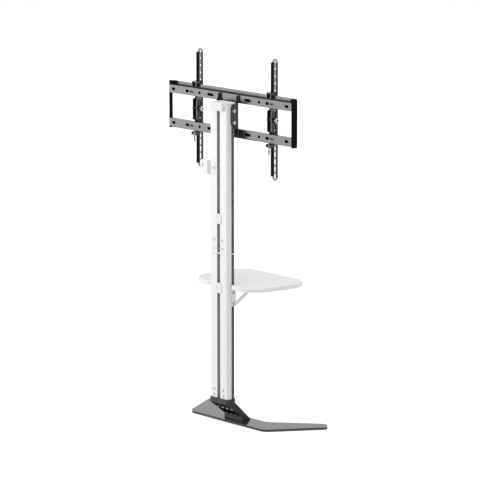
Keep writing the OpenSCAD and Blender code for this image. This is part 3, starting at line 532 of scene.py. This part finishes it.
def islands(node):
    """The separate solids of a CAD node, each as a list of points."""
    mesh = nodes[node].data
    home = list(range(len(mesh.vertices)))

    def root(i):
        while home[i] != i:
            home[i] = home[home[i]]
            i = home[i]
        return i

    for e in mesh.edges:
        a, b = root(e.vertices[0]), root(e.vertices[1])
        home[max(a, b)] = min(a, b)
    found = {}
    for v in mesh.vertices:
        found.setdefault(root(v.index), []).append(v.co.copy())
    return [found[k] for k in sorted(found)]


def screw_rings(points, axis, sign, bolt, cols=36):
    """Rings from the bottom of the recess, round the head and down the shank. The head looks along sign * axis.

    bolt is None for a plain screw, whose sizes all come from the points, or a bolt with a nut such as PIVOT."""
    lo = [min(p[i] for p in points) for i in range(3)]
    hi = [max(p[i] for p in points) for i in range(3)]
    u, w = [i for i in range(3) if i != axis]
    cu, cw = (lo[u] + hi[u]) / 2, (lo[w] + hi[w]) / 2
    face = hi[axis] if sign > 0 else lo[axis]
    length = hi[axis] - lo[axis]
    depth = [(abs(p[axis] - face), math.hypot(p[u] - cu, p[w] - cw)) for p in points]
    radius = max(r for d, r in depth)
    if bolt:
        back = bolt["set_back"]
        radius, face, length = bolt["head_share"] * radius, face - sign * back, length - back
        depth = [(d - back, r) for d, r in depth]
        shank = bolt["shank"]
    else:
        shank = max(r for d, r in depth if d > length - SHANK_END)
    head = max([d for d, r in depth if r > shank + HEAD_STEP and d < length / 2] + [LEAST_HEAD])

    def circle(r):
        return lambda t: r

    def hexagon(r):
        return lambda t: hex_radius(r, t)

    key = KEY_SHARE * radius
    spots = [(KEY_DEPTH_SHARE * head, circle(KEY_FLOOR_SHARE * radius)), (KEY_DEPTH_SHARE * head, hexagon(key)),
             (KEY_MOUTH_DEPTH_SHARE * head, hexagon(key)), (0.0, hexagon(KEY_MOUTH_SHARE * key))]
    spots += [(deep * head, circle(wide * radius)) for deep, wide in DOME]
    spots.append((head, circle(shank)))
    if bolt:
        nut, at_nut, chamfer = bolt["nut_radius"], length - bolt["nut_height"], 0.0004
        spots += [(at_nut, circle(shank)), (at_nut, hexagon(0.97 * nut)), (at_nut + chamfer, hexagon(nut)),
                  (length - 0.001, hexagon(nut)), (length - chamfer, hexagon(0.94 * nut)),
                  (length - chamfer, circle(shank)), (length, circle(0.85 * shank))]
    else:
        spots += [(length - 0.3 * shank, circle(shank)), (length, circle(0.75 * shank))]
    rings = []
    for d, r in spots:
        ring = []
        for k in range(cols):
            t = 2 * math.pi * k / cols
            place = [0.0, 0.0, 0.0]
            place[axis] = face - sign * d
            place[u] = cu + r(t) * math.cos(t)
            place[w] = cw + r(t) * math.sin(t)
            ring.append(place)
        rings.append(ring)
    return rings


def build_screws(node, axis, sign, body, bolt=None):
    """Screws in place of a node's. Where sign is 0, each head looks away from the middle of the part."""
    verts, faces = [], []
    for points in islands(node):
        side_sign = sign or math.copysign(1.0, sum(p[axis] for p in points))
        join_mesh(verts, faces, *rings_to_mesh(screw_rings(points, axis, side_sign, bolt)))
    ob = piece(node + "_socket", verts, faces, "screw_zinc", body, sharp_deg=32.0)
    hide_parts(node)


for node, axis, sign, body in (
        ("mount_bracket_screws", 0, 0, "screen_mount"), ("shelf_bracket_screws", 0, 0, "shelf"),
        ("joint_screws", 1, -1, "base"), ("column_base_screws", 1, -1, "base"), ("side_hook_screw", 1, -1, "base")):
    build_screws(node, axis, sign, body)
for side in ("left", "right"):
    build_screws("pivot_bolt_" + side, 0, 1, "hook_" + side, bolt=PIVOT)


# Painted weld seams that hold the side brackets to the rails

MOUNT_Z, RAIL_Y = 1087.0, 30.0
BRACKET_OUT_X, BRACKET_IN_X = 50.5, 47.5
WELD_NEAR, WELD_FAR = 47.2, 70.5


def build_weld(name, x, into, z0, z1):
    """A rippled fillet along Z in the corner between a bracket's side at x and the rails' rear faces."""
    row_step, leg_size, ripple, ripple_pitch, sag_size = 0.35, 1.9, 0.16, 1.5, 0.12
    end_share, taper_length, flat, steps = 0.35, 1.6, 0.86, 6
    rows = int((z1 - z0) / row_step)
    rings = []
    for k in range(rows + 1):
        z = z0 + (z1 - z0) * k / rows
        turn = 2 * math.pi * z / ripple_pitch
        taper = min(1.0, end_share + min(z - z0, z1 - z) / taper_length)
        leg = (leg_size + ripple * math.sin(turn + 1.3 * math.sin(z * 0.9))) * taper
        sag = sag_size * math.sin(turn + 0.8)
        row = [(x, RAIL_Y)]
        for i in range(steps + 1):
            t = math.radians(90 * i / steps)
            reach = leg * (flat + (1 - flat) * math.cos(4 * t)) if 0 < i < steps else leg
            row.append((x + into * reach * math.cos(t), RAIL_Y - reach * math.sin(t)))
        rings.append([at(px, py, z + sag) for px, py in row])
    verts, faces = rings_to_mesh(rings)
    piece(name, verts, faces, "mount_black", "screen_mount", sharp_deg=60.0)


for sx, side in ((-1, "left"), (1, "right")):
    for sz, level_name in ((-1, "low"), (1, "high")):
        z_near, z_far = sorted((MOUNT_Z + sz * WELD_NEAR, MOUNT_Z + sz * WELD_FAR))
        build_weld("weld_%s_%s_out" % (side, level_name), sx * BRACKET_OUT_X, sx, z_near, z_far)
        build_weld("weld_%s_%s_in" % (side, level_name), sx * BRACKET_IN_X, -sx, z_near, z_far)


# Foot: toothed rear wall and the small gussets between the ribs

FOOT_HALF_W, FOOT_REAR_Y, PLATE_TOP = 48.8, 49.0, 8.0
TEETH_VALLEY, TEETH_PEAK, TEETH_X = 18.2, 28.0, (-46.0, -21.0, 3.5, 28.5, FOOT_HALF_W)
TEETH_FACE_Y, TEETH_BACK_Y = FOOT_REAR_Y - 0.5, FOOT_REAR_Y + 3.6
RIB, RIB_INNER_X, BAYS = 4.0, 43.8, 4
GUSSET_SHIFT, GUSSET_BAY_SHIFT, GUSSET_FACE_Y, GUSSET_BACK_Y, GUSSET_LEAN = -0.4, 2.0, 9.5, 15.0, 0.27
# X from the left end of a gusset, and Z
GUSSET_OUTLINE = ((0.0, 58.2), (0.0, 50.2), (15.0, 49.4), (2.5, 58.0))


def build_foot_teeth():
    """A row of teeth, each with a steep flank on its -X side, a short crest and a long slope down to the next."""
    valley, peak = TEETH_VALLEY, TEETH_PEAK
    outline = [(FOOT_HALF_W, PLATE_TOP), (-FOOT_HALF_W, PLATE_TOP), (-FOOT_HALF_W, valley)]
    for a, b in zip(TEETH_X, TEETH_X[1:]):
        outline += [(a, valley), (a + 0.4, peak - 0.5), (a + 0.9, peak), (a + 2.6, peak),
                    (a + 0.45 * (b - a), peak - 4.2), (b - 1.2, valley + 0.6)]
    outline.append((FOOT_HALF_W, valley))
    ob = prism("foot_teeth", outline, TEETH_FACE_Y, TEETH_BACK_Y, 0.0, "foot_casting", "base")
    soften(ob, 0.0006)


def build_foot_gussets():
    """Small plates that catch the light under the collar, one in each bay between the ribs."""
    pitch = (2 * RIB_INNER_X + RIB) / BAYS
    for i in range(BAYS):
        left = -RIB_INNER_X + i * pitch + GUSSET_SHIFT + GUSSET_BAY_SHIFT * i
        outline = [(left + x, z) for x, z in GUSSET_OUTLINE]
        prism("foot_gusset_%d" % (i + 1), outline, GUSSET_FACE_Y, GUSSET_BACK_Y, GUSSET_LEAN, "mount_black", "base")


build_foot_teeth()
build_foot_gussets()


# Rails: the same pressings with their rear holes opened to the size that the photograph shows

RAIL_HALF_GAP, RAIL_FACE_H, RAIL_HOLE_Z = 45.5, 28.0, 14.25
CUT_Y = (RAIL_Y - 1.5, RAIL_Y + 4.0)
OUTER_X, INNER_X, SHORT_X, LONG_X, SMALL_X = 303.0, 202.5, 160.0, 100.0, (56.0, 43.5)
# The pair of round holes lies outside the inner oval on the +X side and inside it on the -X side
PAIR_X, PAIR_HALF = 227.0, 4.9
OVAL, SHORT_SLOT, LONG_SLOT = (18.5, 10.0), (12.5, 10.0), (34.5, 10.0)
PAIR_DIAMETERS, SMALL_DIAMETER = (9.2, 9.0), 6.6


def slot_outline(x, z, length, width, steps=12):
    """A round-ended slot along X; length equal to width makes a circle."""
    out = []
    for end in (1, -1):
        for i in range(steps + 1):
            t = math.radians(-90 + 180 * i / steps) + (0 if end > 0 else math.pi)
            out.append((x + end * (length - width) / 2 + width / 2 * math.cos(t), z + width / 2 * math.sin(t)))
    if length == width:
        del out[steps + 1], out[-1]
    return out


def rail_holes():
    """Centre, length and width of each rear hole of a rail."""
    out = []
    for s in (-1, 1):
        oval, pair = (-PAIR_X, -INNER_X) if s < 0 else (INNER_X, PAIR_X)
        out += [(s * OUTER_X, *OVAL), (oval, *OVAL), (s * SHORT_X, *SHORT_SLOT), (s * LONG_X, *LONG_SLOT)]
        out += [(pair + side * PAIR_HALF, d, d) for side, d in zip((-1, 1), PAIR_DIAMETERS)]
        out += [(s * x, SMALL_DIAMETER, SMALL_DIAMETER) for x in SMALL_X]
    return out


def build_rail(level, sz):
    z = MOUNT_Z + sz * (RAIL_HALF_GAP + RAIL_HOLE_Z)
    verts, faces = [], []
    for x, length, width in rail_holes():
        rings = [[at(px, y, pz) for px, pz in slot_outline(x, z, length, width)] for y in CUT_Y]
        join_mesh(verts, faces, *rings_to_mesh(rings))
    cutter = piece(level + "_rail_cutter", verts, faces, "mount_black", "screen_mount")
    ob = bpy.data.objects.new(level + "_rail_open", nodes[level + "_rail"].data.copy())
    bpy.context.scene.collection.objects.link(ob)
    holes = ob.modifiers.new("holes", "BOOLEAN")
    holes.operation = "DIFFERENCE"
    holes.solver = "EXACT"
    holes.object = cutter
    done = bpy.data.meshes.new_from_object(ob.evaluated_get(bpy.context.evaluated_depsgraph_get()))
    ob.modifiers.clear()
    ob.data = done
    bpy.data.objects.remove(cutter)
    soften(ob, BEVEL_ELSE)
    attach(ob, "screen_mount")
    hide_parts(level + "_rail")


build_rail("upper", 1)
build_rail("lower", -1)


# End caps: the fold of each cap over the end of the top flange

FOLD_INNER_X, FOLD_OUTER_X, FOLD_Y = 317.6, 328.6, (RAIL_Y + 3.0, RAIL_Y + 18.4)
RAIL_TOP = MOUNT_Z + RAIL_HALF_GAP + RAIL_FACE_H


def build_cap_folds():
    low, high = RAIL_TOP + 0.1, RAIL_TOP + 12.4
    for sx, side in ((-1, "left"), (1, "right")):
        inner, outer = sx * FOLD_INNER_X, sx * FOLD_OUTER_X
        outline = [(inner, low), (outer, low), (outer, high), (inner, high)]
        ob = prism("end_cap_fold_" + side, outline, *FOLD_Y, 0.0, "black_plastic", "screen_mount")
        soften(ob, 0.0009)


build_cap_folds()


# Camera, fitted to the photograph

THETA, PHI = math.radians(49.66), math.radians(10.30)
FOCAL_PX, DIST, SENSOR_MM, PICTURE_PX = 3310.0, 11.381, 36.0, 500.0
AIM = Vector((0.1475, 0.0, 0.636)) + ORIGIN

forward = Vector((-math.sin(THETA) * math.cos(PHI), math.cos(THETA) * math.cos(PHI), -math.sin(PHI)))
right = Vector((math.cos(THETA), math.sin(THETA), 0.0))
up = right.cross(forward)
cam_data = bpy.data.cameras.new("camera")
cam_data.sensor_width = SENSOR_MM
cam_data.sensor_fit = "HORIZONTAL"
cam_data.lens = FOCAL_PX * SENSOR_MM / PICTURE_PX
cam_data.clip_end = 60.0
camera = bpy.data.objects.new("camera", cam_data)
camera.matrix_world = Matrix((
    (right.x, up.x, -forward.x, 0.0),
    (right.y, up.y, -forward.y, 0.0),
    (right.z, up.z, -forward.z, 0.0),
    (0.0, 0.0, 0.0, 1.0)))
camera.location = AIM - forward * DIST
bpy.context.scene.collection.objects.link(camera)
bpy.context.scene.camera = camera


# Floor, world and lamps

WHITE = (1.0, 1.0, 1.0, 1.0)
FLOOR_GREY, FLOOR_GLOW, FLOOR_RADIUS = 0.78, 0.62, 14.0
# The world as it lights the part, and as the camera, reflections and transmission see it
WORLD_LIGHT, WORLD_SEEN = 0.74, 1.0


def floor_material():
    """A diffuse floor that glows for the camera and in reflections, and so reads as white."""
    m = bpy.data.materials.new("stage_white")
    m.use_nodes = True
    nt = m.node_tree
    nt.nodes.clear()
    out = nt.nodes.new("ShaderNodeOutputMaterial")
    dif = nt.nodes.new("ShaderNodeBsdfDiffuse")
    dif.inputs["Color"].default_value = (FLOOR_GREY, FLOOR_GREY, FLOOR_GREY, 1.0)
    glow = nt.nodes.new("ShaderNodeEmission")
    glow.inputs["Color"].default_value = WHITE
    path = nt.nodes.new("ShaderNodeLightPath")
    seen = math_node(nt, "MAXIMUM", path.outputs["Is Camera Ray"], path.outputs["Is Glossy Ray"])
    nt.links.new(map_range(nt, seen, {"To Min": 0.0, "To Max": FLOOR_GLOW}), glow.inputs["Strength"])
    add = nt.nodes.new("ShaderNodeAddShader")
    nt.links.new(dif.outputs[0], add.inputs[0])
    nt.links.new(glow.outputs[0], add.inputs[1])
    nt.links.new(add.outputs[0], out.inputs["Surface"])
    return m


floor_mesh = bpy.data.meshes.new("floor")
fb = bmesh.new()
bmesh.ops.create_circle(fb, cap_ends=True, segments=96, radius=FLOOR_RADIUS)
fb.to_mesh(floor_mesh)
fb.free()
floor = bpy.data.objects.new("floor", floor_mesh)
bpy.context.scene.collection.objects.link(floor)
floor.data.materials.append(floor_material())

world = bpy.data.worlds.new("world")
bpy.context.scene.world = world
world.use_nodes = True
wt = world.node_tree
wt.nodes.clear()
w_out = wt.nodes.new("ShaderNodeOutputWorld")
w_bg = wt.nodes.new("ShaderNodeBackground")
w_bg.inputs["Color"].default_value = WHITE
w_path = wt.nodes.new("ShaderNodeLightPath")
w_seen = math_node(wt, "MAXIMUM", w_path.outputs["Is Camera Ray"], w_path.outputs["Is Glossy Ray"])
w_seen = math_node(wt, "MAXIMUM", w_seen, w_path.outputs["Is Transmission Ray"])
w_level = map_range(wt, w_seen, {"To Min": WORLD_LIGHT, "To Max": WORLD_SEEN})
wt.links.new(w_level, w_bg.inputs["Strength"])
wt.links.new(w_bg.outputs[0], w_out.inputs["Surface"])


def soft_box(name, place, target, size_x, size_y, watts):
    lamp = bpy.data.lights.new(name, "AREA")
    lamp.shape = "RECTANGLE"
    lamp.size = size_x
    lamp.size_y = size_y
    lamp.energy = watts
    ob = bpy.data.objects.new(name, lamp)
    ob.location = place
    ob.rotation_euler = (Vector(target) - Vector(place)).to_track_quat("-Z", "Y").to_euler()
    bpy.context.scene.collection.objects.link(ob)


soft_box("key", place=(-3.1, -2.75, 0.66), target=(0.0, 0.0, 0.7), size_x=2.3, size_y=1.2, watts=45.0)
soft_box("top", place=(0.4, -0.85, 5.0), target=(0.0, 0.0, 0.5), size_x=2.6, size_y=2.6, watts=53.0)

bpy.context.scene.view_settings.view_transform = "Standard"
